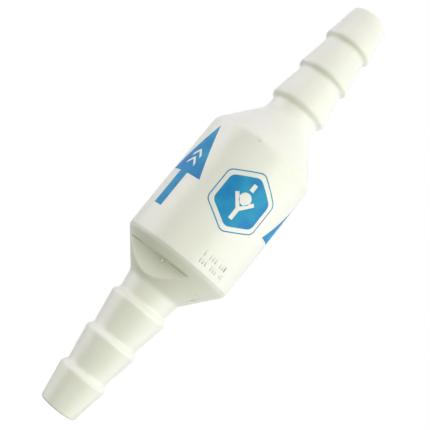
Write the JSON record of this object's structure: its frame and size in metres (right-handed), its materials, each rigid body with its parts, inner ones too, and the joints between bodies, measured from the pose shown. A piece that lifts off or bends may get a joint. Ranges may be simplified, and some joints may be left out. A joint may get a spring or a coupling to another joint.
{
  "type": "in-line check valve",
  "caption": "In-line non-return valve for small-bore hose: barbed plastic shells around a filter, a seat and a spring-loaded poppet that slides in a guide.",
  "frame": {"origin": "centre of the inlet tip's end face, on the valve's axis", "axes": "+Z along the flow, from the inlet barbs to the outlet barbs; the two wrench flats face -Y and +Y"},
  "size_m": [0.015, 0.015, 0.0632],
  "materials": {
    "white_plastic": "satin-gloss off-white moulded plastic",
    "blue_ink": "pad-printed blue ink",
    "black_rubber": "satin moulded rubber",
    "red_silicone": "satin silicone rubber",
    "brass": "turned brass",
    "steel": "bright stainless steel",
    "sintered_bronze": "porous sintered bronze",
    "acetal": "turned natural acetal",
    "ptfe": "waxy white PTFE"
  },
  "bodies": {
    "root": {"outlet_housing": "white_plastic", "inlet_cap": "white_plastic", "body_seal_ring": "black_rubber", "inlet_filter": "sintered_bronze", "filter_retaining_ring": "steel", "seat_gasket": "ptfe", "seat_insert": "brass", "seat_retaining_ring": "steel", "return_spring": "steel", "spring_seat_washer": "steel", "stop_bumper": "black_rubber", "guide_spider": "brass", "guide_bush": "ptfe", "guide_lock_ring": "steel"},
    "poppet": {"poppet": "acetal", "poppet_seal": "red_silicone", "seal_clamp_washer": "steel", "seal_clamp_screw": "steel", "poppet_spring_washer": "steel", "stem_clip": "steel"}
  },
  "joints": [
    {"name": "poppet_lift", "type": "slide", "parent": "root", "child": "poppet", "axis": [0, 0, 1], "range_m": [0, 0.0015], "stiffness_N_per_m": 50, "springref_m": -0.0022, "deforming": ["return_spring"]}
  ]
}
